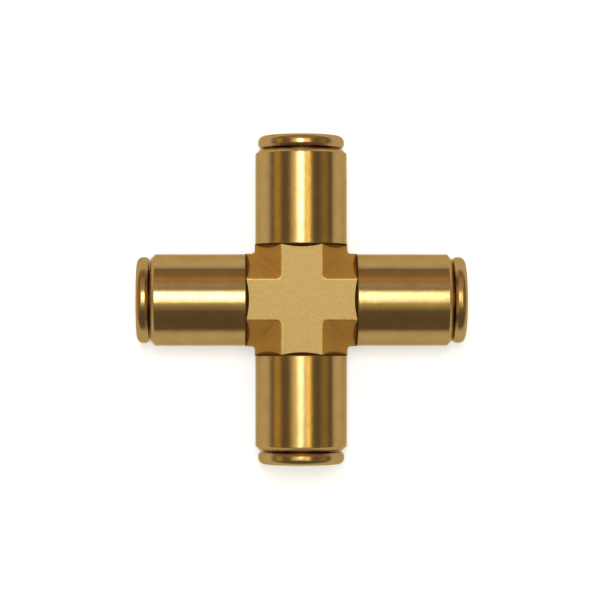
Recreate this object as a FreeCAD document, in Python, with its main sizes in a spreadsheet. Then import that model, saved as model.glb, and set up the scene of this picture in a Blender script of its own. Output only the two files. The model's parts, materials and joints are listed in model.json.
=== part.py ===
"""Push-in cross fitting for 6.35 mm (1/4 in) tube.

A forged brass cross carries four equal tube ports in one plane. Each port holds, from the tube
stop outwards, an O-ring, a spacer ring, a slotted gripping collet and a retaining sleeve that is
pressed into the mouth. A release collar is pressed into the collet and slides with it.

Lengths are millimetres. The port axes are X and Y, their crossing is the origin, and Z is square
to both. Every port piece is drawn once with its axis on its own Z, measured from the crossing
outwards, and is then turned to its port.
"""

import FreeCAD, Part
import math
import os

import Sketcher
from FreeCAD import Placement, Rotation, Vector

PORTS = {"right": 0, "back": 90, "left": 180, "front": 270}
OUTPUT_FOLDER = "parts"
SLOTS_IN_COLLET = 6
HEX_CORNER_RATIO = 1 / math.sqrt(3)

# Distances "from the crossing" run along a port's axis.
DRIVING = {
    # forged block: two crossing hexagonal bars
    "across_flats": 11.15,
    "flat_half_width": 2.87,
    "block_half_length": 7.84,
    "valley_round": 0.55,
    "flat_edge_round": 0.45,
    "parting_edge_round": 0.30,
    # turned arms
    "arm_radius": 6.30,
    "arm_end": 20.67,
    "arm_end_chamfer": 0.62,
    "arm_root_top": 7.55,
    "arm_root_drop": 1.30,
    "arm_root_run": 0.70,
    # stepped port bore
    "flow_radius": 2.30,
    "tube_stop": 6.20,
    "socket_radius": 3.22,
    "socket_end": 9.80,
    "socket_lead": 0.25,
    "gland_radius": 4.70,
    "gland_end": 11.90,
    "mouth_radius": 5.15,
    "bore_overrun": 1.00,
    # O-ring
    "seal_section_radius": 0.90,
    # spacer ring
    "spacer_radius": 5.10,
    "spacer_bore": 3.30,
    "spacer_end": 12.90,
    "spacer_lead": 0.30,
    # retaining sleeve
    "sleeve_end": 20.45,
    "sleeve_wide_bore": 4.70,
    "guide_bore": 4.15,
    "grip_slope": 0.30,
    "sleeve_break": 0.15,
    "sleeve_lead": 0.18,
    # gripping collet
    "collet_start": 13.30,
    "collet_body_radius": 4.05,
    "crest_radius": 4.50,
    "crest_end": 14.35,
    "crest_chamfer": 0.25,
    "tooth_radius": 3.02,
    "tooth_crest": 13.75,
    "tooth_heel_radius": 3.30,
    "tooth_heel": 13.45,
    "tooth_slope_end": 14.90,
    "slot_width": 0.60,
    "slot_end": 17.60,
    # release collar
    "tube_bore": 3.25,
    "tail_start": 16.30,
    "tail_radius": 3.65,
    "neck_start": 18.90,
    "neck_radius": 4.08,
    "head_start": 20.84,
    "head_root_radius": 5.66,
    "head_radius": 5.93,
    "head_flare_end": 21.27,
    "head_end": 22.54,
    "rim_round": 0.85,
    "mouth_flare": 0.55,
    "edge_break": 0.08,
    # collar travel
    "travel_out": 1.00,
    "grip_seat_gap": 0.025,
}


class Dim:
    """A length with both its value and the sheet expression that gives it."""

    def __init__(self, value, text):
        self.value = value
        self.text = text

    def joined(self, sign, other, value):
        return Dim(value, f"({self.text} {sign} {text_of(other)})")

    def __add__(self, other):
        return self.joined("+", other, self.value + value_of(other))

    def __sub__(self, other):
        return self.joined("-", other, self.value - value_of(other))

    def __mul__(self, other):
        return self.joined("*", other, self.value * value_of(other))

    def __truediv__(self, other):
        return self.joined("/", other, self.value / value_of(other))

    def __neg__(self):
        return Dim(-self.value, f"(-1 * {self.text})")


class Dims:
    """The driving dimensions by name."""

    def __init__(self, sheet_name, values):
        for alias, value in values.items():
            setattr(self, alias, Dim(value, f"{sheet_name}.{alias}"))


def value_of(size):
    return size.value if isinstance(size, Dim) else size


def text_of(size):
    return size.text if isinstance(size, Dim) else repr(size)


def driving_sheet(doc):
    """Writes the driving dimensions to the document's spreadsheet."""
    sheet = doc.addObject("Spreadsheet::Sheet", "dims")
    for row, (alias, value) in enumerate(DRIVING.items(), start=1):
        sheet.set(f"A{row}", alias)
        sheet.set(f"B{row}", str(value))
        sheet.setAlias(f"B{row}", alias)
    doc.recompute()
    return Dims(sheet.Name, DRIVING)


def origin_feature(body, role):
    return next(o for o in body.Origin.OriginFeatures if o.Role == role)


def outline(body, name, plane, points):
    """A closed polygon sketch whose corners are bound to the sheet; a bare 0 lies on an axis."""
    sketch = body.newObject("Sketcher::SketchObject", name)
    sketch.AttachmentSupport = [(origin_feature(body, plane), "")]
    sketch.MapMode = "FlatFace"
    corners = [Vector(value_of(across), value_of(along), 0) for across, along in points]
    for start, end in zip(corners, corners[1:] + corners[:1]):
        sketch.addGeometry(Part.LineSegment(start, end))
    count = len(points)
    for i in range(count):
        sketch.addConstraint(Sketcher.Constraint("Coincident", i, 2, (i + 1) % count, 1))
    for i, (across, along) in enumerate(points):
        place_corner(sketch, i, "DistanceX", across, -2)
        place_corner(sketch, i, "DistanceY", along, -1)
    return sketch


def place_corner(sketch, line, kind, size, axis):
    """Ties the start of one line to the sketch's origin, along one direction."""
    if isinstance(size, Dim):
        rule = sketch.addConstraint(Sketcher.Constraint(kind, -1, 1, line, 1, size.value))
        sketch.setExpression(f"Constraints[{rule}]", size.text)
    else:
        sketch.addConstraint(Sketcher.Constraint("PointOnObject", line, 1, axis))


def turned(body, name, sketch, axis, kind="PartDesign::Revolution"):
    """A full turn of a sketch about one of its own axes, added or cut."""
    feature = body.newObject(kind, name)
    feature.Profile = sketch
    feature.ReferenceAxis = (sketch, [axis])
    feature.Angle = 360
    return feature


def ring_pattern(body, name, feature, count):
    """Repeats a feature evenly about the body's Z axis."""
    pattern = body.newObject("PartDesign::PolarPattern", name)
    pattern.Originals = [feature]
    pattern.Axis = (origin_feature(body, "Z_Axis"), [""])
    pattern.Angle = 360
    pattern.Occurrences = count
    body.Tip = pattern
    return pattern


def rounded(body, name, base, radius, wanted):
    """Fillets the edges of a feature that the test picks."""
    body.Document.recompute()
    edges = [f"Edge{i}" for i, edge in enumerate(base.Shape.Edges, start=1) if wanted(edge)]
    if not edges:
        raise RuntimeError(f"{body.Label}: no edges found for {name}")
    fillet = body.newObject("PartDesign::Fillet", name)
    fillet.Base = (base, edges)
    fillet.setExpression("Radius", radius.text)
    body.Document.recompute()
    return fillet


def circle_at(radius, along):
    """Picks the full circles of one radius at one place on the Z axis."""

    def wanted(edge):
        curve = edge.Curve
        if not isinstance(curve, Part.Circle):
            return False
        return abs(curve.Radius - value_of(radius)) < 1e-6 and abs(curve.Center.z - value_of(along)) < 1e-6

    return wanted


def port_placement(turn):
    """Lays a piece's own Z along the port that is turned this far about Z from +X."""
    return Placement(Vector(0, 0, 0), Rotation(Vector(0, 0, 1), turn) * Rotation(Vector(0, 1, 0), 90))


def port_body(doc, piece, port):
    body = doc.addObject("PartDesign::Body", f"{piece}_{port}")
    body.Placement = port_placement(PORTS[port])
    return body


def hexagonal_bar(body, name, plane, d):
    """A hexagonal bar through the crossing, with flats facing up and down."""
    flat = d.across_flats / 2
    corner = d.across_flats * HEX_CORNER_RATIO
    points = [
        (corner, 0),
        (d.flat_half_width, flat),
        (-d.flat_half_width, flat),
        (-corner, 0),
        (-d.flat_half_width, -flat),
        (d.flat_half_width, -flat),
    ]
    bar = body.newObject("PartDesign::Pad", name)
    bar.Profile = outline(body, f"{name}_section", plane, points)
    bar.SideType = "Symmetric"
    bar.setExpression("Length", (d.block_half_length * 2).text)
    return bar


def cross_body(doc, d):
    """The one-piece brass body: forged block, four turned arms and four stepped bores."""
    body = doc.addObject("PartDesign::Body", "cross_body")
    hexagonal_bar(body, "bar_along_x", "YZ_Plane", d)
    block = hexagonal_bar(body, "bar_along_y", "XZ_Plane", d)

    flat_height = d.across_flats.value / 2
    tolerance = 1e-6

    def in_valley(edge):
        middle = edge.CenterOfMass
        rises = edge.BoundBox.ZLength > flat_height / 2
        return rises and abs(abs(middle.x) - abs(middle.y)) < tolerance

    def borders_flat(edge):
        box = edge.BoundBox
        middle = edge.CenterOfMass
        on_flat = box.ZLength < tolerance and abs(abs(middle.z) - flat_height) < tolerance
        return on_flat and max(abs(middle.x), abs(middle.y)) < d.block_half_length.value - tolerance

    def on_parting_line(edge):
        box = edge.BoundBox
        return box.ZLength < tolerance and abs(edge.CenterOfMass.z) < tolerance

    block = rounded(body, "valleys", block, d.valley_round, in_valley)
    block = rounded(body, "flat_borders", block, d.flat_edge_round, borders_flat)
    rounded(body, "parting_edges", block, d.parting_edge_round, on_parting_line)

    arm_points = [
        (d.arm_root_top - d.arm_root_run, 0),
        (d.arm_root_top - d.arm_root_run, d.arm_radius - d.arm_root_drop),
        (d.arm_root_top, d.arm_radius),
        (d.arm_end - d.arm_end_chamfer, d.arm_radius),
        (d.arm_end, d.arm_radius - d.arm_end_chamfer),
        (d.arm_end, 0),
    ]
    arm_outline = outline(body, "arm_outline", "XY_Plane", arm_points)
    arm = turned(body, "arm", arm_outline, "H_Axis")
    ring_pattern(body, "arms", arm, len(PORTS))

    bore_points = [
        (0, 0),
        (0, d.flow_radius),
        (d.tube_stop, d.flow_radius),
        (d.tube_stop, d.socket_radius),
        (d.socket_end - d.socket_lead, d.socket_radius),
        (d.socket_end, d.socket_radius + d.socket_lead),
        (d.socket_end, d.gland_radius),
        (d.gland_end, d.gland_radius),
        (d.gland_end, d.mouth_radius),
        (d.arm_end + d.bore_overrun, d.mouth_radius),
        (d.arm_end + d.bore_overrun, 0),
    ]
    bore_outline = outline(body, "bore_outline", "XY_Plane", bore_points)
    bore = turned(body, "bore", bore_outline, "H_Axis", "PartDesign::Groove")
    ring_pattern(body, "bores", bore, len(PORTS))
    return body


def o_ring(doc, d, port):
    """A nitrile O-ring that bears on the gland wall, midway along the gland."""
    ring = doc.addObject("Part::Torus", f"o_ring_{port}")
    ring.setExpression("Radius1", (d.gland_radius - d.seal_section_radius).text)
    ring.setExpression("Radius2", d.seal_section_radius.text)
    ring.Placement = port_placement(PORTS[port])
    outward = ring.Placement.Rotation.multVec(Vector(0, 0, 1))
    middle = (d.socket_end + d.gland_end) / 2
    for letter, share in (("x", outward.x), ("y", outward.y)):
        ring.setExpression(f"Placement.Base.{letter}", (middle * round(share)).text)
    return ring


def spacer_ring(doc, d, port):
    """A plain ring that closes the gland and is held there by the retaining sleeve."""
    body = port_body(doc, "spacer_ring", port)
    points = [
        (d.spacer_bore, d.gland_end),
        (d.spacer_radius, d.gland_end),
        (d.spacer_radius, d.spacer_end),
        (d.spacer_bore + d.spacer_lead, d.spacer_end),
        (d.spacer_bore, d.spacer_end - d.spacer_lead),
    ]
    turned(body, "ring", outline(body, "section", "XZ_Plane", points), "V_Axis")
    return body


def retaining_sleeve(doc, d, port):
    """A brass sleeve pressed into the mouth: guide bore outside, grip taper inside."""
    body = port_body(doc, "retaining_sleeve", port)
    room = (d.sleeve_wide_bore - d.crest_radius - d.grip_seat_gap) / d.grip_slope
    taper_start = d.crest_end + d.travel_out - room
    taper_end = taper_start + (d.sleeve_wide_bore - d.guide_bore) / d.grip_slope
    points = [
        (d.sleeve_wide_bore, d.spacer_end),
        (d.mouth_radius - d.sleeve_lead, d.spacer_end),
        (d.mouth_radius, d.spacer_end + d.sleeve_lead),
        (d.mouth_radius, d.sleeve_end),
        (d.guide_bore + d.sleeve_break, d.sleeve_end),
        (d.guide_bore, d.sleeve_end - d.sleeve_break),
        (d.guide_bore, taper_end),
        (d.sleeve_wide_bore, taper_start),
    ]
    turned(body, "sleeve", outline(body, "section", "XZ_Plane", points), "V_Axis")
    return body


def gripping_collet(doc, d, port):
    """A spring-hard collet: a plain rim outside, toothed fingers with raised crests inside."""
    body = port_body(doc, "gripping_collet", port)
    crest_taper_end = d.crest_end + (d.crest_radius - d.collet_body_radius) / d.grip_slope
    points = [
        (d.tooth_heel_radius, d.collet_start),
        (d.crest_radius - d.crest_chamfer, d.collet_start),
        (d.crest_radius, d.collet_start + d.crest_chamfer),
        (d.crest_radius, d.crest_end),
        (d.collet_body_radius, crest_taper_end),
        (d.collet_body_radius, d.neck_start),
        (d.tail_radius, d.neck_start),
        (d.tail_radius, d.tooth_slope_end),
        (d.tooth_radius, d.tooth_crest),
        (d.tooth_heel_radius, d.tooth_heel),
    ]
    blank = turned(body, "blank", outline(body, "section", "XZ_Plane", points), "V_Axis")
    doc.recompute()
    whole = blank.Shape.Volume

    half_slot = d.slot_width / 2
    slot_points = [
        (-half_slot, d.collet_start - d.bore_overrun),
        (half_slot, d.collet_start - d.bore_overrun),
        (half_slot, d.slot_end),
        (-half_slot, d.slot_end),
    ]
    slot = body.newObject("PartDesign::Pocket", "slot")
    slot.Profile = outline(body, "slot_outline", "XZ_Plane", slot_points)
    slot.setExpression("Length", (d.crest_radius + d.bore_overrun).text)
    slots = ring_pattern(body, "slots", slot, SLOTS_IN_COLLET)
    doc.recompute()
    if slots.Shape.Volume >= whole:
        raise RuntimeError("the collet's slots cut nothing")
    return body


def release_collar(doc, d, port):
    """The brass collar that is pushed to let the tube go: tail, neck and flared head."""
    body = port_body(doc, "release_collar", port)
    points = [
        (d.tube_bore, d.tail_start),
        (d.tail_radius, d.tail_start),
        (d.tail_radius, d.neck_start),
        (d.neck_radius, d.neck_start),
        (d.neck_radius, d.head_start),
        (d.head_root_radius, d.head_start),
        (d.head_radius, d.head_flare_end),
        (d.head_radius, d.head_end),
        (d.tube_bore + d.mouth_flare, d.head_end),
        (d.tube_bore, d.head_end - d.mouth_flare),
    ]
    blank = turned(body, "blank", outline(body, "section", "XZ_Plane", points), "V_Axis")
    rim = rounded(body, "rim", blank, d.rim_round, circle_at(d.head_radius, d.head_end))
    mouth = circle_at(d.tube_bore + d.mouth_flare, d.head_end)
    edge = rounded(body, "mouth_edge", rim, d.edge_break, mouth)
    rounded(body, "head_root", edge, d.edge_break, circle_at(d.head_root_radius, d.head_start))
    return body


def check_document(doc, pieces):
    """Stops the script if any object failed or any piece isn't one closed valid solid."""
    for item in doc.Objects:
        if "Invalid" in item.State or "Error" in item.State:
            raise RuntimeError(f"{item.Label} failed: {item.State}")
    for piece in pieces:
        shape = piece.Shape
        if shape.isNull() or not shape.isValid() or len(shape.Solids) != 1:
            raise RuntimeError(f"{piece.Label} isn't one valid solid")


def main():
    doc = FreeCAD.newDocument("cross_fitting")
    d = driving_sheet(doc)
    pieces = [cross_body(doc, d)]
    for port in PORTS:
        for make in (o_ring, spacer_ring, retaining_sleeve, gripping_collet, release_collar):
            pieces.append(make(doc, d, port))
    doc.recompute()
    check_document(doc, pieces)
    os.makedirs(OUTPUT_FOLDER, exist_ok=True)
    for piece in pieces:
        piece.Shape.exportStep(os.path.join(OUTPUT_FOLDER, f"{piece.Label}.step"))
        print(f"{piece.Label}: {piece.Shape.Volume:.1f} mm3")


main()
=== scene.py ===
"""Push-in brass cross fitting: finished meshes, metal finishes, floor, lights and camera.

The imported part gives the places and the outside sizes. Sections are drawn in millimetres as
(radius, distance along the port axis) and turned about that axis.
"""

import json
import math

import bmesh
import bpy
import numpy as np
from mathutils import Matrix, Vector

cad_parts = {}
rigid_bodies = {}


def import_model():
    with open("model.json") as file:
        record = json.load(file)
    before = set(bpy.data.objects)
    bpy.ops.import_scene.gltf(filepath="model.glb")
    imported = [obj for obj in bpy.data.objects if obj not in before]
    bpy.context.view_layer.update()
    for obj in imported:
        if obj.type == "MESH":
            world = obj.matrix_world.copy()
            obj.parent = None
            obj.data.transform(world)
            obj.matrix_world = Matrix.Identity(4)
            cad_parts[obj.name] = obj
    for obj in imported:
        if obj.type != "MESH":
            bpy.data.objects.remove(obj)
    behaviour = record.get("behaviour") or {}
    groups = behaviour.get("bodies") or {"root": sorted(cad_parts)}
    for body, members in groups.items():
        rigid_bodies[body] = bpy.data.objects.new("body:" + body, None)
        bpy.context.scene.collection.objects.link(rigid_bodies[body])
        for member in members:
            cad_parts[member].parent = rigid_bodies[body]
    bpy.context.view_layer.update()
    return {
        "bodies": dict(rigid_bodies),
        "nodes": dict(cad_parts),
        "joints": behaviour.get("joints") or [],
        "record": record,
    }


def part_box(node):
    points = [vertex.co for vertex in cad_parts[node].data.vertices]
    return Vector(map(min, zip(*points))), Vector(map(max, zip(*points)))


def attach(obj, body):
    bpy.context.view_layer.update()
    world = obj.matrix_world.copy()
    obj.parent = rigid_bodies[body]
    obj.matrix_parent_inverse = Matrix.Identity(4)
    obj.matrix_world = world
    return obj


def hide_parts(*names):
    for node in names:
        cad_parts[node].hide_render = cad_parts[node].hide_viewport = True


MM = 0.001
PORTS = {"right": 0, "back": 90, "left": 180, "front": 270}
ROOT_BODY = "fitting_body"

# Millimetres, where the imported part's boxes don't give the size.
BLOCK_HALF_LENGTH = 7.84
FLAT_HALF_WIDTH = 2.87
VALLEY_ROUND_AT_PARTING = 0.48
VALLEY_ROUND_AT_FLAT = 0.62
FLAT_EDGE_ROUND = 0.45
PARTING_EDGE_ROUND = 0.36
BAR_END_ROUND = 0.34
BAR_END_STEPS = 5
ARM_END_CHAMFER = 0.62
ARM_ROOT_TOP = 7.55
ARM_ROOT_DROP = 1.30
ARM_ROOT_RUN = 0.70
FLOW_RADIUS = 2.30
TUBE_STOP = 6.20
SOCKET_RADIUS = 3.22
SOCKET_END = 9.80
SOCKET_LEAD = 0.25
SPACER_BORE = 3.30
SPACER_LEAD = 0.30
SLEEVE_WIDE_BORE = 4.70
GUIDE_BORE = 4.15
GRIP_SLOPE = 0.30
GRIP_SEAT_GAP = 0.025
SLEEVE_BREAK = 0.15
SLEEVE_LEAD = 0.18
COLLET_BODY_RADIUS = 4.05
CREST_END = 14.35
CREST_CHAMFER = 0.25
TOOTH_RADIUS = 3.02
TOOTH_CREST = 13.75
TOOTH_HEEL_RADIUS = 3.30
TOOTH_HEEL = 13.45
TOOTH_SLOPE_END = 14.90
SLOT_WIDTH = 0.60
SLOT_END = 17.60
SLOT_PAIRS = 3
TAIL_RADIUS = 3.65
NECK_RADIUS = 4.08
HEAD_START = 20.84
HEAD_ROOT_RADIUS = 5.66
HEAD_FLARE_END = 21.27
RIM_ROUND = 0.85
MOUTH_FLARE = 0.55
COLLAR_TRAVEL_OUT = 1.00
CUT_OVERRUN = 1.00

# Roundings of edges, from a cut one to a smooth change of slope.
TOOTH_EDGE = 0.02
CUT_EDGE = 0.03
FINE_EDGE = 0.04
PLAIN_EDGE = 0.05
EDGE_BREAK = 0.06
ARM_LIP_ROUND = 0.08
EASED_EDGE = 0.10
COLLAR_CORNER_ROUND = 0.12
SOFT_EDGE = 0.15
BLEND = 0.20
LONG_BLEND = 0.30

# Heights between which the shoulder over a flat is painted dark as shade.
SHADE_START = 4.4
SHADE_FULL = 5.4

# Facets of turned shapes and arcs, and the angle below which faces are shaded as one.
BODY_SEGMENTS = 256
PORT_SEGMENTS = 192
ARC_STEP = math.radians(9)
SMOOTH_BELOW = math.radians(24)

# Camera, lights and floor: lengths in millimetres, leans in degrees.
CAMERA_DISTANCE = 340.0
VIEW_WIDTH = 82.53
VIEW_CENTRE = (-0.15, 0.0)
VIEW_TOWARDS_RIGHT = -1.2
VIEW_TOWARDS_BACK = -1.0
SENSOR_WIDTH = 36.0
PANEL_DISTANCE = 700.0
FLOOR_REACH = 1500.0
BACKDROP_HEIGHT = 150.0


# ---------------------------------------------------------------- sections


def rounded_section(corners, closed=True):
    """Replaces each (radius, along, rounding) corner by a tangent arc of that rounding."""
    points = []
    count = len(corners)
    for i, (across, along, rounding) in enumerate(corners):
        corner = Vector((across, along))
        is_end = not closed and i in (0, count - 1)
        if is_end or rounding <= 0:
            points.append(corner)
            continue
        before = (Vector(corners[i - 1][:2]) - corner).normalized()
        after = (Vector(corners[(i + 1) % count][:2]) - corner).normalized()
        half_angle = before.angle(after) / 2
        centre = corner + (before + after).normalized() * (rounding / math.sin(half_angle))
        start = corner + before * (rounding / math.tan(half_angle)) - centre
        turn = start.angle_signed(corner + after * (rounding / math.tan(half_angle)) - centre)
        steps = max(2, math.ceil(abs(turn) / ARC_STEP))
        for step in range(steps + 1):
            arm = start.copy()
            arm.rotate(Matrix.Rotation(-turn * step / steps, 2))
            points.append(centre + arm)
    return points


def mesh_object(name, bm):
    """Turns a bmesh in millimetres into an object in metres."""
    bmesh.ops.remove_doubles(bm, verts=bm.verts, dist=1e-5)
    bmesh.ops.recalc_face_normals(bm, faces=bm.faces)
    bm.transform(Matrix.Scale(MM, 4))
    mesh = bpy.data.meshes.new(name)
    bm.to_mesh(mesh)
    bm.free()
    made = bpy.data.objects.new(name, mesh)
    bpy.context.scene.collection.objects.link(made)
    return made


def turned_mesh(section, closed, segments, matrix):
    """A bmesh of a section turned once about Z, then moved by the matrix."""
    bm = bmesh.new()
    rings = []
    for step in range(segments):
        angle = 2 * math.pi * step / segments
        cosine = math.cos(angle)
        sine = math.sin(angle)
        rings.append([bm.verts.new((p.x * cosine, p.x * sine, p.y)) for p in section])
    count = len(section)
    spans = count if closed else count - 1
    for ring, following in zip(rings, rings[1:] + rings[:1]):
        for i in range(spans):
            j = (i + 1) % count
            bm.faces.new((ring[i], following[i], following[j], ring[j]))
    if not closed:
        bm.faces.new([ring[0] for ring in rings])
        bm.faces.new([ring[-1] for ring in rings])
    bm.transform(matrix)
    return bm


def port_matrix(turn):
    """Lays Z along the port that is turned this many degrees from +X."""
    return Matrix.Rotation(math.radians(turn), 4, "Z") @ Matrix.Rotation(math.radians(90), 4, "Y")


def turned_piece(name, corners, turn):
    section = rounded_section(corners)
    return mesh_object(name, turned_mesh(section, True, PORT_SEGMENTS, port_matrix(turn)))


def joined_with(piece, other, operation):
    """Adds or cuts another solid, and removes it from the scene."""
    modifier = piece.modifiers.new("solid", "BOOLEAN")
    modifier.operation = operation
    modifier.solver = "MANIFOLD"
    modifier.object = other
    depsgraph = bpy.context.evaluated_depsgraph_get()
    mesh = bpy.data.meshes.new_from_object(piece.evaluated_get(depsgraph))
    piece.modifiers.clear()
    old = piece.data
    piece.data = mesh
    bpy.data.meshes.remove(old)
    bpy.data.meshes.remove(other.data)


def smooth_faces(piece):
    """Corner normals weighted by face area: flats stay flat, and rounded edges run into them cleanly."""
    mesh = piece.data
    mesh.shade_smooth()
    corner_vertex = np.empty(len(mesh.loops), dtype=int)
    mesh.loops.foreach_get("vertex_index", corner_vertex)
    corners_of_face = np.empty(len(mesh.polygons), dtype=int)
    mesh.polygons.foreach_get("loop_total", corners_of_face)
    corner_face = np.repeat(np.arange(len(corners_of_face)), corners_of_face)
    normals = np.empty((len(corners_of_face), 3))
    mesh.polygons.foreach_get("normal", normals.ravel())
    areas = np.empty(len(corners_of_face))
    mesh.polygons.foreach_get("area", areas)
    weighted = normals * areas[:, None]
    by_vertex = np.argsort(corner_vertex, kind="stable")
    first = np.searchsorted(corner_vertex[by_vertex], corner_vertex)
    count = np.bincount(corner_vertex)[corner_vertex]
    totals = np.zeros((len(corner_vertex), 3))
    for step in range(count.max()):
        corners = np.flatnonzero(count > step)
        neighbour = corner_face[by_vertex[first[corners] + step]]
        cosine = (normals[corner_face[corners]] * normals[neighbour]).sum(axis=1)
        totals[corners] += weighted[neighbour] * (cosine > math.cos(SMOOTH_BELOW))[:, None]
    totals /= np.linalg.norm(totals, axis=1)[:, None]
    mesh.normals_split_custom_set(totals)


# ---------------------------------------------------------------- finishes


class Shade:
    """A value in a finish. Python's operators on it add Math nodes."""

    def __init__(self, finish, socket):
        self.finish = finish
        self.socket = socket

    def maths(self, operation, *values):
        return self.finish.node("ShaderNodeMath", {"operation": operation}, dict(enumerate(values)))

    def __add__(self, other):
        return self.maths("ADD", self, other)

    def __radd__(self, other):
        return self.maths("ADD", other, self)

    def __sub__(self, other):
        return self.maths("SUBTRACT", self, other)

    def __rsub__(self, other):
        return self.maths("SUBTRACT", other, self)

    def __mul__(self, other):
        return self.maths("MULTIPLY", self, other)

    def __rmul__(self, other):
        return self.maths("MULTIPLY", other, self)

    def __abs__(self):
        return self.maths("ABSOLUTE", self)

    def larger(self, other):
        return self.maths("MAXIMUM", self, other)

    def rising(self, low, high):
        """0 below low, 1 above high, smooth between them."""
        sockets = {"Value": self, "From Min": low, "From Max": high}
        return self.finish.node("ShaderNodeMapRange", {"interpolation_type": "SMOOTHSTEP"}, sockets)


class Finish:
    """One material being made."""

    def __init__(self, name):
        self.material = bpy.data.materials.new(name)
        self.material.use_nodes = True
        self.tree = self.material.node_tree
        self.tree.nodes.clear()

    def node(self, kind, settings=None, sockets=None, out=0):
        """Adds a node: its settings first, then the values or links of its sockets."""
        made = self.tree.nodes.new(kind)
        for key, value in (settings or {}).items():
            setattr(made, key, value)
        for key, value in (sockets or {}).items():
            if isinstance(value, Shade):
                self.tree.links.new(value.socket, made.inputs[key])
            else:
                made.inputs[key].default_value = value
        return Shade(self, made.outputs[out])

    def place(self):
        """Object coordinates in millimetres."""
        metres = self.node("ShaderNodeTexCoord", out="Object")
        return self.node("ShaderNodeVectorMath", {"operation": "SCALE"}, {0: metres, "Scale": 1 / MM})

    def axes(self, vector):
        split = self.node("ShaderNodeSeparateXYZ", sockets={0: vector}).socket.node
        return [Shade(self, out) for out in split.outputs]

    def along_port(self, place):
        """Distance from the crossing along the nearest port."""
        x, y, _ = self.axes(place)
        return abs(x).larger(abs(y))

    def height(self, place):
        """Distance from the ports' plane."""
        return abs(self.axes(place)[2])

    def noise(self, place, scale, detail=2.0, roughness=0.5):
        sockets = {"Vector": place, "Scale": scale, "Detail": detail, "Roughness": roughness}
        return self.node("ShaderNodeTexNoise", sockets=sockets)

    def line_noise(self, along, scale, detail=2.0, roughness=0.5):
        sockets = {"W": along, "Scale": scale, "Detail": detail, "Roughness": roughness}
        return self.node("ShaderNodeTexNoise", {"noise_dimensions": "1D"}, sockets)

    def mixed(self, share, first, second):
        """A colour between two, by share."""
        return self.node("ShaderNodeMix", {"data_type": "RGBA"}, {0: share, 6: first, 7: second}, out=2)

    def bump(self, height, depth_mm, under=None):
        sockets = {"Height": height, "Distance": depth_mm * MM, "Strength": 1.0}
        if under is not None:
            sockets["Normal"] = under
        return self.node("ShaderNodeBump", sockets=sockets)

    def surface(self, sockets):
        shader = self.node("ShaderNodeBsdfPrincipled", sockets=sockets)
        output = self.tree.nodes.new("ShaderNodeOutputMaterial")
        self.tree.links.new(shader.socket, output.inputs["Surface"])
        return self.material


def rgb(red, green, blue):
    return (red, green, blue, 1.0)


def turned_brass(name, bright, toned, roughness, line_depth):
    """Brass as it leaves the lathe: fine rings round the port axis, some haze, painted shade at the root."""
    finish = Finish(name)
    place = finish.place()
    along = finish.along_port(place)
    wander = finish.noise(place, 0.35, 1.0) * 0.06
    rings = finish.line_noise(along + wander, 16.0, 3.0, 0.65)
    # Painted shade: where the arm runs into the block its colour is painted dark, as is a line by the
    # shoulder.
    root = 1 - along.rising(ARM_ROOT_TOP + 0.06, ARM_ROOT_TOP + 0.20)
    shoulder_shade_line = along.rising(ARM_ROOT_TOP - 0.20, ARM_ROOT_TOP - 0.06)
    in_shadow = finish.height(place).rising(SHADE_START, SHADE_FULL).larger(shoulder_shade_line)
    haze = finish.noise(place, 0.45, 3.0, 0.55)
    specks = finish.noise(place, 9.0, 2.0, 0.6).rising(0.60, 0.74)
    worn = finish.mixed(haze.rising(0.35, 0.75) * 0.7 + specks * 0.15, bright, toned)
    # Painted shade: dark brass at the root, near-black over the flats and along the shoulder line.
    root_painted_shade = finish.mixed(in_shadow, rgb(0.40, 0.22, 0.045), rgb(0.07, 0.035, 0.008))
    colour = finish.mixed(root * 0.9, worn, root_painted_shade)
    return finish.surface(
        {
            "Base Color": colour,
            "Metallic": 1.0,
            "Specular Tint": rgb(0.62, 0.50, 0.30),
            "Roughness": roughness + haze * 0.06 + rings * 0.05 + root * 0.45,
            "Coat Weight": (0.36 - haze * 0.16) * (1 - root),
            "Coat Roughness": 0.14,
            "Normal": finish.bump(rings, line_depth),
        }
    )


def forged_brass():
    """Blasted forging: fine even grain, smoother edges, painted shade in hollows and at the bar ends."""
    finish = Finish("forged_brass_blasted")
    place = finish.place()
    x, y, _ = finish.axes(place)
    grain = finish.noise(place, 5.5, 3.0, 0.6)
    dents = finish.noise(place, 1.6, 2.0, 0.5)
    normal = finish.node("ShaderNodeNewGeometry", out="Normal")
    steepness = abs(finish.axes(normal)[2])
    on_flat = steepness.rising(0.985, 0.9995)
    on_rounding = steepness.rising(0.70, 0.80) * (1 - on_flat)
    painted_shoulder_shade = finish.along_port(place).rising(BLOCK_HALF_LENGTH - 0.40, BLOCK_HALF_LENGTH - 0.18)
    valley_shade_mask = 1 - abs(abs(x) - abs(y)).rising(0.0, 0.7)
    # Painted light: the slopes get a lighter brass than the flats, standing in for light bounced off the
    # arms.
    bounce_lit_slopes = finish.mixed(grain, rgb(0.50, 0.285, 0.060), rgb(0.62, 0.37, 0.082))
    flats = finish.mixed(grain.rising(0.30, 0.70), rgb(0.347, 0.237, 0.086), rgb(0.426, 0.296, 0.116))
    # Painted shade: the valleys where the bars cross are darkened.
    valley_shaded = finish.mixed(valley_shade_mask * 0.17, bounce_lit_slopes, rgb(0.36, 0.20, 0.042))
    body = finish.mixed(on_flat, valley_shaded, flats)
    # Rubbed edges and a painted highlight: the roundings round the flats are lightened.
    rubbed_and_highlit = finish.mixed(on_rounding * 0.2, body, rgb(0.58, 0.41, 0.15))
    # Painted shade: a near-black band at the bar ends, where the arms meet the block.
    colour = finish.mixed(painted_shoulder_shade * 0.8, rubbed_and_highlit, rgb(0.09, 0.045, 0.010))
    grained = finish.bump(grain, 0.028)
    return finish.surface(
        {
            "Base Color": colour,
            "Metallic": 1.0,
            "Roughness": 0.72 - on_flat * 0.22 - on_rounding * 0.40 + grain * 0.08,
            "Normal": finish.bump(dents, 0.03, grained),
        }
    )


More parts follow.
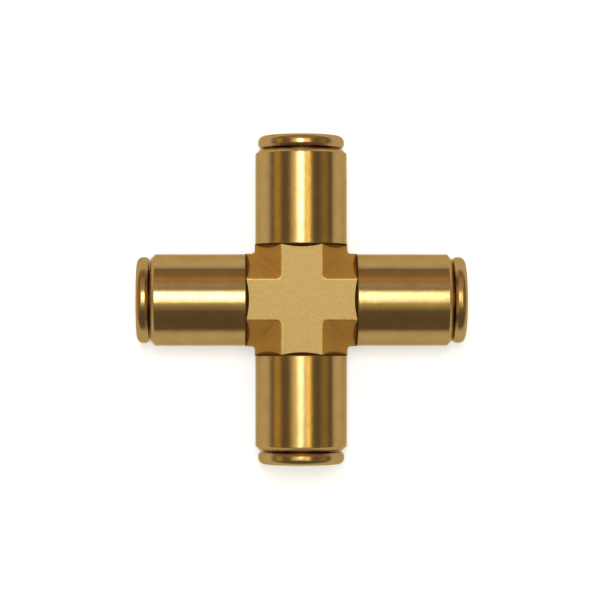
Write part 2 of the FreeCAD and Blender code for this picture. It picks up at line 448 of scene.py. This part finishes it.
def spring_steel():
    """Ground stainless steel, with short random grinding marks."""
    finish = Finish("spring_steel_ground")
    place = finish.place()
    marks = finish.noise(place, 14.0, 4.0, 0.7)
    tone = finish.mixed(marks, rgb(0.42, 0.42, 0.41), rgb(0.62, 0.61, 0.60))
    return finish.surface(
        {
            "Base Color": tone,
            "Metallic": 1.0,
            "Roughness": 0.26 + marks * 0.12,
            "Normal": finish.bump(marks, 0.008),
        }
    )


def natural_acetal():
    """Turned natural acetal: off-white, faintly translucent, with soft tool lines."""
    finish = Finish("natural_acetal_turned")
    place = finish.place()
    rings = finish.line_noise(finish.along_port(place), 12.0, 2.0)
    cloud = finish.noise(place, 1.2, 3.0)
    return finish.surface(
        {
            "Base Color": finish.mixed(cloud, rgb(0.80, 0.78, 0.71), rgb(0.88, 0.87, 0.82)),
            "Roughness": 0.38 + cloud * 0.12,
            "IOR": 1.48,
            "Subsurface Weight": 0.12,
            "Subsurface Radius": (0.6 * MM, 0.5 * MM, 0.4 * MM),
            "Normal": finish.bump(rings, 0.01),
        }
    )


def nitrile_rubber():
    """Moulded black nitrile with a thin film of grease."""
    finish = Finish("nitrile_rubber_greased")
    place = finish.place()
    film = finish.noise(place, 1.8, 3.0)
    skin = finish.noise(place, 22.0, 2.0)
    return finish.surface(
        {
            "Base Color": finish.mixed(skin, rgb(0.012, 0.012, 0.013), rgb(0.030, 0.030, 0.031)),
            "Roughness": 0.30 + film * 0.25,
            "IOR": 1.52,
            "Normal": finish.bump(skin, 0.006),
        }
    )


# ---------------------------------------------------------------- sizes from the frame


def millimetres_along(box):
    """(inner end, outer end, radius) of a piece on the right-hand port, from its box."""
    low, high = box
    return low.x / MM, high.x / MM, high.z / MM


class Fitting:
    """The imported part's outside sizes, in millimetres."""

    def __init__(self, frame):
        low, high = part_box("cross_body")
        self.arm_end = high.x / MM
        self.arm_radius = high.z / MM
        self.floor = low.z / MM
        mounts = {mount["name"]: mount for mount in frame["record"]["mounts"]}
        self.flat_height = mounts["wrench_flat_top"]["pos_m"][2] / MM
        self.tube_bore = mounts["tube_port_right"]["dims"]["r_mm"]
        self.seal_start, self.seal_end, self.gland_radius = millimetres_along(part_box("o_ring_right"))
        self.gland_end, self.spacer_end, self.spacer_radius = millimetres_along(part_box("spacer_ring_right"))
        _, self.sleeve_end, self.mouth_radius = millimetres_along(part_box("retaining_sleeve_right"))
        self.collet_start, self.neck_start, self.crest_radius = millimetres_along(
            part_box("gripping_collet_right")
        )
        self.tail_start, self.head_end, self.head_radius = millimetres_along(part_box("release_collar_right"))


# ---------------------------------------------------------------- the brass body


def cross_outline(half_width, valley_round, arc_steps=8):
    """The plus-shaped outline of the block at one height, with rounded inner corners."""
    quarter = [Vector((BLOCK_HALF_LENGTH, -half_width)), Vector((BLOCK_HALF_LENGTH, half_width))]
    centre = Vector((half_width + valley_round, half_width + valley_round))
    for step in range(arc_steps + 1):
        angle = math.radians(270 - 90 * step / arc_steps)
        quarter.append(centre + Vector((math.cos(angle), math.sin(angle))) * valley_round)
    outline = []
    for turn in PORTS.values():
        for point in quarter:
            turned = point.copy()
            turned.rotate(Matrix.Rotation(math.radians(turn), 2))
            outline.append(turned)
    return outline


def round_bar_ends(bm):
    """Rounds the whole rim of each of the four bar ends."""
    ends = [face for face in bm.faces if max(abs(face.normal.x), abs(face.normal.y)) > 1 - 1e-4]
    rims = {edge for face in ends for edge in face.edges}
    bmesh.ops.bevel(
        bm,
        geom=list(rims),
        offset=BAR_END_ROUND,
        segments=BAR_END_STEPS,
        profile=0.5,
        affect="EDGES",
        clamp_overlap=False,
    )


def forged_block(fitting):
    """Two crossing hexagonal bars as one solid, lofted from the lower flat to the upper one."""
    bm = bmesh.new()
    height = fitting.flat_height
    corner_radius = height / math.cos(math.radians(30))
    flat_inset = corner_radius - FLAT_HALF_WIDTH
    cap_inset = flat_inset + FLAT_EDGE_ROUND
    side = [
        (cap_inset, -height, 0),
        (flat_inset, -height, FLAT_EDGE_ROUND),
        (0, 0, PARTING_EDGE_ROUND),
        (flat_inset, height, FLAT_EDGE_ROUND),
        (cap_inset, height, 0),
    ]
    rings = []
    for inset, level in rounded_section(side, closed=False):
        rise = min(1.0, inset / flat_inset)
        valley = VALLEY_ROUND_AT_PARTING + (VALLEY_ROUND_AT_FLAT - VALLEY_ROUND_AT_PARTING) * rise
        outline = cross_outline(corner_radius - inset, valley)
        rings.append([bm.verts.new((point.x, point.y, level)) for point in outline])
    count = len(rings[0])
    bar_ends = range(0, count, count // len(PORTS))
    for lower, upper in zip(rings, rings[1:]):
        for i in range(count):
            if i not in bar_ends:
                j = (i + 1) % count
                bm.faces.new((lower[i], lower[j], upper[j], upper[i]))
    for i in bar_ends:
        bm.faces.new([ring[i] for ring in rings] + [ring[i + 1] for ring in reversed(rings)])
    bm.faces.new(rings[0])
    bm.faces.new(rings[-1])
    bmesh.ops.recalc_face_normals(bm, faces=bm.faces)
    round_bar_ends(bm)
    return mesh_object("cross_body_forging", bm)


def mirrored(corners):
    """The section from one mouth to the other, given the half from the crossing outwards."""
    inward = [(radius, -along, rounding) for radius, along, rounding in reversed(corners)]
    return inward + corners


def arm_pair(fitting, turn):
    """Two opposite arms on one rod, turned, with their roots inside the block."""
    radius = fitting.arm_radius
    corners = [
        (radius - ARM_ROOT_DROP, ARM_ROOT_TOP - ARM_ROOT_RUN, 0),
        (radius, ARM_ROOT_TOP, PLAIN_EDGE),
        (radius, fitting.arm_end - ARM_END_CHAMFER, EASED_EDGE),
        (radius - ARM_END_CHAMFER, fitting.arm_end, ARM_LIP_ROUND),
        (fitting.mouth_radius / 2, fitting.arm_end, 0),
    ]
    section = rounded_section(mirrored(corners), closed=False)
    bm = turned_mesh(section, False, BODY_SEGMENTS, port_matrix(turn))
    return mesh_object("arm_pair", bm)


def bore_pair(fitting, turn):
    """The stepped bore through two opposite ports."""
    corners = [
        (FLOW_RADIUS, TUBE_STOP, PLAIN_EDGE),
        (SOCKET_RADIUS, TUBE_STOP, FINE_EDGE),
        (SOCKET_RADIUS, SOCKET_END - SOCKET_LEAD, PLAIN_EDGE),
        (SOCKET_RADIUS + SOCKET_LEAD, SOCKET_END, PLAIN_EDGE),
        (fitting.gland_radius, SOCKET_END, EASED_EDGE),
        (fitting.gland_radius, fitting.gland_end, PLAIN_EDGE),
        (fitting.mouth_radius, fitting.gland_end, FINE_EDGE),
        (fitting.mouth_radius, fitting.arm_end - EDGE_BREAK, 0),
        (fitting.mouth_radius + EDGE_BREAK, fitting.arm_end, 0),
        (fitting.mouth_radius + EDGE_BREAK, fitting.arm_end + CUT_OVERRUN, 0),
    ]
    section = rounded_section(mirrored(corners), closed=False)
    bm = turned_mesh(section, False, BODY_SEGMENTS, port_matrix(turn))
    return mesh_object("bore_pair", bm)


def dressed(piece, finishes, index):
    """Gives a piece the list of finishes and puts all its faces on one of them."""
    piece.data.materials.clear()
    for finish in finishes:
        piece.data.materials.append(finish)
    for polygon in piece.data.polygons:
        polygon.material_index = index
    return piece


def make_body(fitting, finishes):
    """The forging with its arms turned and its ports bored."""
    body = dressed(forged_block(fitting), finishes, 0)
    for turn in (0, 90):
        joined_with(body, dressed(arm_pair(fitting, turn), finishes, 1), "UNION")
    for turn in (0, 90):
        joined_with(body, dressed(bore_pair(fitting, turn), finishes, 2), "DIFFERENCE")
    smooth_faces(body)
    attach(body, ROOT_BODY)
    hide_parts("cross_body")


# ---------------------------------------------------------------- the pieces in each port


def make_seal(fitting, port, finish):
    """The O-ring, as a ring of round section."""
    section_radius = (fitting.seal_end - fitting.seal_start) / 2
    middle = (fitting.seal_start + fitting.seal_end) / 2
    axis_radius = fitting.gland_radius - section_radius
    steps = round(2 * math.pi / ARC_STEP)
    section = []
    for step in range(steps):
        angle = 2 * math.pi * step / steps
        across = axis_radius + section_radius * math.cos(angle)
        section.append(Vector((across, middle + section_radius * math.sin(angle))))
    bm = turned_mesh(section, True, PORT_SEGMENTS, port_matrix(PORTS[port]))
    piece = mesh_object(f"tube_seal_{port}", bm)
    finish_piece(piece, finish, ROOT_BODY, f"o_ring_{port}")


def make_spacer(fitting, port, finish):
    corners = [
        (SPACER_BORE, fitting.gland_end, EDGE_BREAK),
        (fitting.spacer_radius, fitting.gland_end, EDGE_BREAK),
        (fitting.spacer_radius, fitting.spacer_end, EDGE_BREAK),
        (SPACER_BORE + SPACER_LEAD, fitting.spacer_end, EDGE_BREAK),
        (SPACER_BORE, fitting.spacer_end - SPACER_LEAD, EDGE_BREAK),
    ]
    piece = turned_piece(f"gland_spacer_{port}", corners, PORTS[port])
    finish_piece(piece, finish, ROOT_BODY, f"spacer_ring_{port}")


def make_sleeve(fitting, port, finish):
    room = (SLEEVE_WIDE_BORE - fitting.crest_radius - GRIP_SEAT_GAP) / GRIP_SLOPE
    taper_start = CREST_END + COLLAR_TRAVEL_OUT - room
    taper_end = taper_start + (SLEEVE_WIDE_BORE - GUIDE_BORE) / GRIP_SLOPE
    corners = [
        (SLEEVE_WIDE_BORE, fitting.spacer_end, CUT_EDGE),
        (fitting.mouth_radius - SLEEVE_LEAD, fitting.spacer_end, CUT_EDGE),
        (fitting.mouth_radius, fitting.spacer_end + SLEEVE_LEAD, CUT_EDGE),
        (fitting.mouth_radius, fitting.sleeve_end, EDGE_BREAK),
        (GUIDE_BORE + SLEEVE_BREAK, fitting.sleeve_end, FINE_EDGE),
        (GUIDE_BORE, fitting.sleeve_end - SLEEVE_BREAK, FINE_EDGE),
        (GUIDE_BORE, taper_end, BLEND),
        (SLEEVE_WIDE_BORE, taper_start, BLEND),
    ]
    piece = turned_piece(f"grip_sleeve_{port}", corners, PORTS[port])
    finish_piece(piece, finish, ROOT_BODY, f"retaining_sleeve_{port}")


def saw_cut(fitting, turn, roll):
    """The space that one pass of a slitting saw takes out of the collet."""
    bm = bmesh.new()
    bmesh.ops.create_cube(bm, size=1)
    length = SLOT_END - fitting.collet_start + CUT_OVERRUN
    middle = SLOT_END - length / 2
    reach = 2 * (fitting.crest_radius + CUT_OVERRUN)
    bm.transform(Matrix.Translation((0, 0, middle)) @ Matrix.Diagonal((SLOT_WIDTH, reach, length, 1)))
    bm.transform(port_matrix(turn) @ Matrix.Rotation(math.radians(roll), 4, "Z"))
    return mesh_object("saw_cut", bm)


def make_collet(fitting, port, finish):
    taper_end = CREST_END + (fitting.crest_radius - COLLET_BODY_RADIUS) / GRIP_SLOPE
    corners = [
        (TOOTH_HEEL_RADIUS, fitting.collet_start, FINE_EDGE),
        (fitting.crest_radius - CREST_CHAMFER, fitting.collet_start, EDGE_BREAK),
        (fitting.crest_radius, fitting.collet_start + CREST_CHAMFER, EDGE_BREAK),
        (fitting.crest_radius, CREST_END, BLEND),
        (COLLET_BODY_RADIUS, taper_end, LONG_BLEND),
        (COLLET_BODY_RADIUS, fitting.neck_start, PLAIN_EDGE),
        (TAIL_RADIUS, fitting.neck_start, CUT_EDGE),
        (TAIL_RADIUS, TOOTH_SLOPE_END, SOFT_EDGE),
        (TOOTH_RADIUS, TOOTH_CREST, TOOTH_EDGE),
        (TOOTH_HEEL_RADIUS, TOOTH_HEEL, TOOTH_EDGE),
    ]
    piece = turned_piece(f"slotted_collet_{port}", corners, PORTS[port])
    for pair in range(SLOT_PAIRS):
        joined_with(piece, saw_cut(fitting, PORTS[port], 180 * pair / SLOT_PAIRS), "DIFFERENCE")
    finish_piece(piece, finish, f"collar_{port}", f"gripping_collet_{port}")


def make_collar(fitting, port, finish):
    corners = [
        (fitting.tube_bore, fitting.tail_start, EDGE_BREAK),
        (TAIL_RADIUS, fitting.tail_start, EDGE_BREAK),
        (TAIL_RADIUS, fitting.neck_start, 0),
        (NECK_RADIUS, fitting.neck_start, EDGE_BREAK),
        (NECK_RADIUS, HEAD_START, COLLAR_CORNER_ROUND),
        (HEAD_ROOT_RADIUS, HEAD_START, EASED_EDGE),
        (fitting.head_radius, HEAD_FLARE_END, SOFT_EDGE),
        (fitting.head_radius, fitting.head_end, RIM_ROUND),
        (fitting.tube_bore + MOUTH_FLARE, fitting.head_end, COLLAR_CORNER_ROUND),
        (fitting.tube_bore, fitting.head_end - MOUTH_FLARE, SOFT_EDGE),
    ]
    piece = turned_piece(f"flared_collar_{port}", corners, PORTS[port])
    finish_piece(piece, finish, f"collar_{port}", f"release_collar_{port}")


def finish_piece(piece, finish, body, node):
    dressed(piece, [finish], 0)
    smooth_faces(piece)
    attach(piece, body)
    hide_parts(node)


# ---------------------------------------------------------------- floor, lights and camera


def studio_white():
    finish = Finish("studio_white")
    grain = finish.noise(finish.place(), 0.2, 2.0)
    return finish.surface(
        {
            "Base Color": finish.mixed(grain, rgb(0.86, 0.87, 0.88), rgb(0.88, 0.89, 0.90)),
            "Roughness": 0.9,
            "Emission Color": rgb(0.94, 0.97, 1.0),
            "Emission Strength": 0.46,
        }
    )


def make_floor(fitting, finish):
    """The floor that the fitting lies on, and a low wall far round it."""
    bm = bmesh.new()
    bmesh.ops.create_grid(bm, x_segments=1, y_segments=1, size=FLOOR_REACH)
    bm.transform(Matrix.Translation((0, 0, fitting.floor)))
    floor = mesh_object("table_top", bm)
    bm = bmesh.new()
    bmesh.ops.create_cone(
        bm, segments=PORT_SEGMENTS, radius1=FLOOR_REACH, radius2=FLOOR_REACH, depth=BACKDROP_HEIGHT
    )
    bm.transform(Matrix.Translation((0, 0, fitting.floor + BACKDROP_HEIGHT / 2)))
    backdrop = mesh_object("backdrop", bm)
    for piece in (floor, backdrop):
        dressed(piece, [finish], 0)


def facing_crossing(towards_right, towards_back, distance):
    """The matrix of a lamp or camera above the crossing, leaning by these angles and facing it."""
    sideways = Matrix.Rotation(math.radians(towards_right), 4, "Y")
    backwards = Matrix.Rotation(math.radians(-towards_back), 4, "X")
    return backwards @ sideways @ Matrix.Translation((0, 0, distance * MM))


def soft_panel(name, towards_right, towards_back, half_width, half_height, radiance, colour=(1, 1, 1)):
    """A light panel facing the crossing, placed and sized by angles as seen from there."""
    size_x = 2 * PANEL_DISTANCE * math.tan(math.radians(half_width)) * MM
    size_y = 2 * PANEL_DISTANCE * math.tan(math.radians(half_height)) * MM
    data = bpy.data.lights.new(name, "AREA")
    data.shape = "RECTANGLE"
    data.size = size_x
    data.size_y = size_y
    data.energy = radiance * math.pi * size_x * size_y
    data.color = colour
    lamp = bpy.data.objects.new(name, data)
    lamp.matrix_world = facing_crossing(towards_right, towards_back, PANEL_DISTANCE)
    lamp.visible_camera = False
    bpy.context.scene.collection.objects.link(lamp)


def make_lights():
    soft_panel("key", -2.2, 9.8, 3.6, 7.6, 21.0)
    soft_panel("key_tail", -2.2, -2.4, 2.2, 4, 9.0)
    soft_panel("key_halo", -1.5, 7, 11, 15, 2.4, (0.60, 0.76, 1.0))
    soft_panel("gold_strip", 17.2, 3, 3.4, 20, 4.8, (1.0, 0.86, 0.34))
    soft_panel("left_strip", -18, 5, 8, 20, 1.2, (1.0, 0.91, 0.55))
    soft_panel("back_low", 0, 36, 30, 7, 0.56)
    soft_panel("back_middle", 0, 52, 36, 8, 0.68, (1.0, 0.54, 0.24))
    soft_panel("back_high", 0, 70, 40, 8, 0.25, (1.0, 0.74, 0.28))
    soft_panel("left_wall", -63, 0, 9, 28, 0.80, (1.0, 0.65, 0.10))
    soft_panel("right_wall", 60, 0, 10, 28, 0.33, (1.0, 0.80, 0.20))
    soft_panel("front_fill", 0, -18, 25, 7, 0.30, (0.95, 1.0, 0.52))
    world = bpy.data.worlds.new("room")
    world.use_nodes = True
    background = world.node_tree.nodes["Background"]
    background.inputs["Color"].default_value = rgb(1.0, 0.86, 0.80)
    background.inputs["Strength"].default_value = 0.26
    bpy.context.scene.world = world


def make_camera():
    data = bpy.data.cameras.new("camera")
    data.sensor_width = SENSOR_WIDTH
    data.lens = SENSOR_WIDTH * CAMERA_DISTANCE / VIEW_WIDTH
    data.clip_start = 10 * MM
    data.clip_end = 5000 * MM
    camera = bpy.data.objects.new("camera", data)
    centre = Matrix.Translation(Vector((*VIEW_CENTRE, 0.0)) * MM)
    camera.matrix_world = centre @ facing_crossing(VIEW_TOWARDS_RIGHT, VIEW_TOWARDS_BACK, CAMERA_DISTANCE)
    bpy.context.scene.collection.objects.link(camera)
    bpy.context.scene.camera = camera


def main():
    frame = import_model()
    fitting = Fitting(frame)
    bpy.context.scene.view_settings.view_transform = "Standard"

    arm_brass = turned_brass(
        "arm_brass_turned", rgb(0.345, 0.22, 0.074), rgb(0.30, 0.18, 0.057), 0.13, 0.006
    )
    bore_brass = turned_brass(
        "bore_brass", rgb(0.35, 0.22, 0.074), rgb(0.28, 0.17, 0.054), 0.26, 0.012
    )
    collar_brass = turned_brass(
        "collar_brass_turned", rgb(0.35, 0.22, 0.074), rgb(0.30, 0.18, 0.057), 0.17, 0.004
    )
    sleeve_brass = turned_brass(
        "sleeve_brass_turned", rgb(0.35, 0.22, 0.074), rgb(0.29, 0.175, 0.056), 0.22, 0.006
    )
    steel = spring_steel()
    acetal = natural_acetal()
    rubber = nitrile_rubber()

    make_body(fitting, [forged_brass(), arm_brass, bore_brass])
    for port in PORTS:
        make_seal(fitting, port, rubber)
        make_spacer(fitting, port, acetal)
        make_sleeve(fitting, port, sleeve_brass)
        make_collet(fitting, port, steel)
        make_collar(fitting, port, collar_brass)

    make_floor(fitting, studio_white())
    make_lights()
    make_camera()


main()
